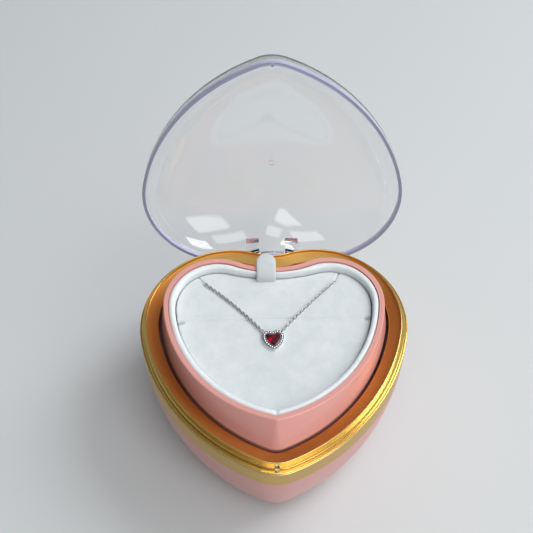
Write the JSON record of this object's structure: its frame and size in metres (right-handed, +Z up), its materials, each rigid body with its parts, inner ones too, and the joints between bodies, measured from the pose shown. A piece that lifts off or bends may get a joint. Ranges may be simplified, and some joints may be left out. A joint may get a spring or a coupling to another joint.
{
  "type": "wind up music box",
  "caption": "Heart-shaped music box with a clear domed hinged lid, a gold rim, a velvet-lined lift-out insert holding a pendant necklace, and a key-wound movement in its base",
  "frame": {"origin": "centre of the bounding box's bottom, on the surface the box stands on, with the lid open", "axes": "+Z up, -Y towards the heart's point (the front), +Y towards the cleft and the hinge, +X to the right seen from the front"},
  "size_m": [0.106, 0.1356, 0.1365],
  "materials": {
    "shell_pink": "satin pale pink lacquered plastic",
    "cup_pink": "satin pink lacquered plastic",
    "rim_gold": "polished gold plating, satin on the outer band",
    "lid_clear": "clear moulded acrylic",
    "steel": "plain steel",
    "chrome_silver": "polished silver plating",
    "velvet": "short-pile pale grey velvet",
    "board": "grey card",
    "red_gem": "faceted deep red crystal",
    "clear_gem": "small faceted clear crystals",
    "base_plastic": "moulded plastic",
    "deck_plastic": "moulded plastic",
    "rubber": "soft rubber",
    "zinc": "die-cast zinc",
    "brass": "machined brass",
    "spring_steel": "blued spring steel"
  },
  "bodies": {
    "case": {"outer_shell": "shell_pink", "rim_bezel": "rim_gold", "base_plate": "base_plastic", "rubber_feet": "rubber", "deck_plate": "deck_plastic", "inner_cup": "cup_pink", "velvet_roll": "velvet", "hinge_pin": "steel", "key_well": "base_plastic", "spring_housing": "zinc", "movement_bedplate": "zinc", "comb": "steel", "comb_screws": "steel", "cylinder_posts": "zinc", "governor_posts": "zinc", "deck_screws": "steel", "movement_screws": "steel", "cup_screws": "steel", "base_screws": "steel"},
    "lid": {"lid_dome": "lid_clear", "lid_wire": "steel"},
    "insert": {"insert_board": "board", "velvet_pad": "velvet", "pull_tab": "velvet", "necklace_chain_left": "chrome_silver", "necklace_chain_right": "chrome_silver", "pendant_setting": "chrome_silver", "halo_stones": "clear_gem", "heart_stone": "red_gem"},
    "winding": {"winding_key": "steel", "winding_shaft": "steel", "great_wheel": "brass", "mainspring": "spring_steel"},
    "cylinder": {"music_cylinder": "brass", "cylinder_shaft": "steel", "cylinder_pinion": "brass", "cylinder_gear": "brass"},
    "train": {"train_wheel": "brass"},
    "fly": {"governor_worm": "steel", "air_brake_fly": "zinc"},
    "plunger": {"stop_plunger": "steel"}
  },
  "joints": [
    {"name": "lid_hinge", "type": "hinge", "parent": "case", "child": "lid", "pos_m": [0, 0.02735, 0.0453], "axis": [-1, 0, 0], "range_deg": [-101.4, 3]},
    {"name": "insert_lift", "type": "slide", "parent": "case", "child": "insert", "axis": [0, 0, 1], "range_m": [0, 0.06]},
    {"name": "key_turn", "type": "hinge", "parent": "case", "child": "winding", "pos_m": [-0.014, -0.0157, 0.01], "axis": [0, 0, 1], "continuous": true},
    {"name": "cylinder_spin", "type": "hinge", "parent": "case", "child": "cylinder", "pos_m": [0.011, -0.0157, 0.021], "axis": [1, 0, 0], "continuous": true},
    {"name": "train_spin", "type": "hinge", "parent": "case", "child": "train", "pos_m": [0.027, -0.0087, 0.021], "axis": [1, 0, 0], "continuous": true},
    {"name": "fly_spin", "type": "hinge", "parent": "case", "child": "fly", "pos_m": [0.0293, -0.0005, 0.021], "axis": [0, 0, 1], "continuous": true},
    {"name": "plunger_slide", "type": "slide", "parent": "case", "child": "plunger", "axis": [0, 0, 1], "range_m": [-0.0015, 0], "stiffness_N_per_m": 100, "springref_m": 0.001}
  ],
  "couplings": [
    {"joint": "key_turn", "follows": "cylinder_spin", "ratio": 0.25},
    {"joint": "train_spin", "follows": "cylinder_spin", "ratio": -2.5},
    {"joint": "fly_spin", "follows": "cylinder_spin", "ratio": -15}
  ]
}
